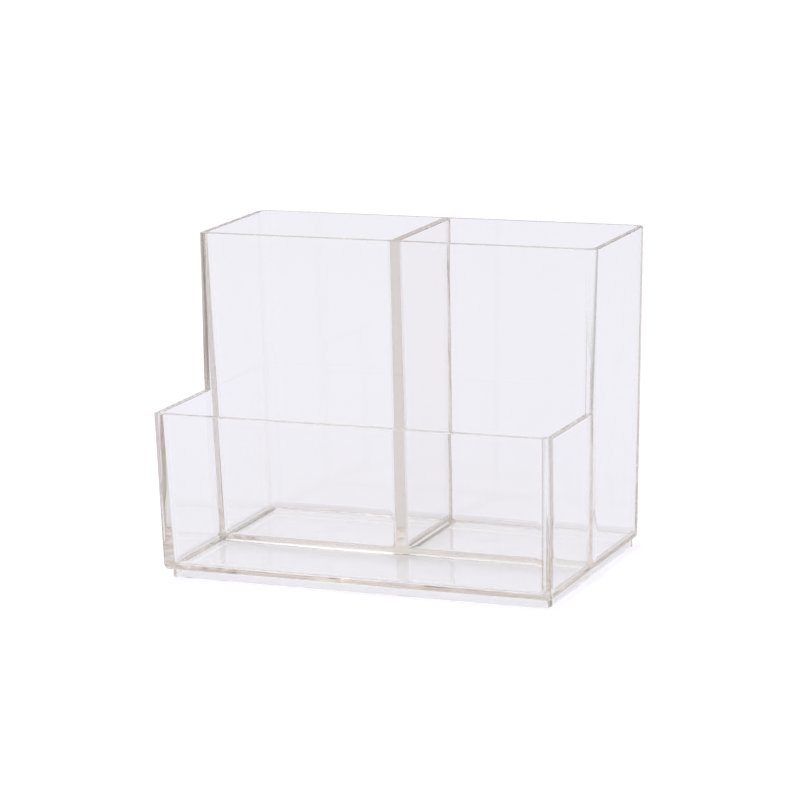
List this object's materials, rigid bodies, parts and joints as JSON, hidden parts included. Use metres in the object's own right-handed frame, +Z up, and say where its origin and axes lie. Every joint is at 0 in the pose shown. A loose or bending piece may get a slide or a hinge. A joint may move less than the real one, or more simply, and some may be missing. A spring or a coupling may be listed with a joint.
{
  "type": "brush holder",
  "caption": "Clear open-topped organiser: tall side-by-side brush bays behind a low full-width front tray, stepped side walls, recessed stacking plinth.",
  "frame": {"origin": "middle of the plan, on the surface that the plinth stands on", "axes": "+Z up, -Y towards the user, from the tall bays to the low tray, +X to the user's right"},
  "size_m": [0.165, 0.107, 0.127],
  "materials": {
    "clear_acrylic": "polished clear acrylic, colourless in the sheet and faintly beige through a long edge"
  },
  "bodies": {
    "root": {"floor_pan": "clear_acrylic", "stacking_plinth": "clear_acrylic", "left_side_wall": "clear_acrylic", "right_side_wall": "clear_acrylic", "front_wall": "clear_acrylic", "cross_wall": "clear_acrylic", "centre_divider": "clear_acrylic", "back_wall": "clear_acrylic"}
  },
  "joints": []
}
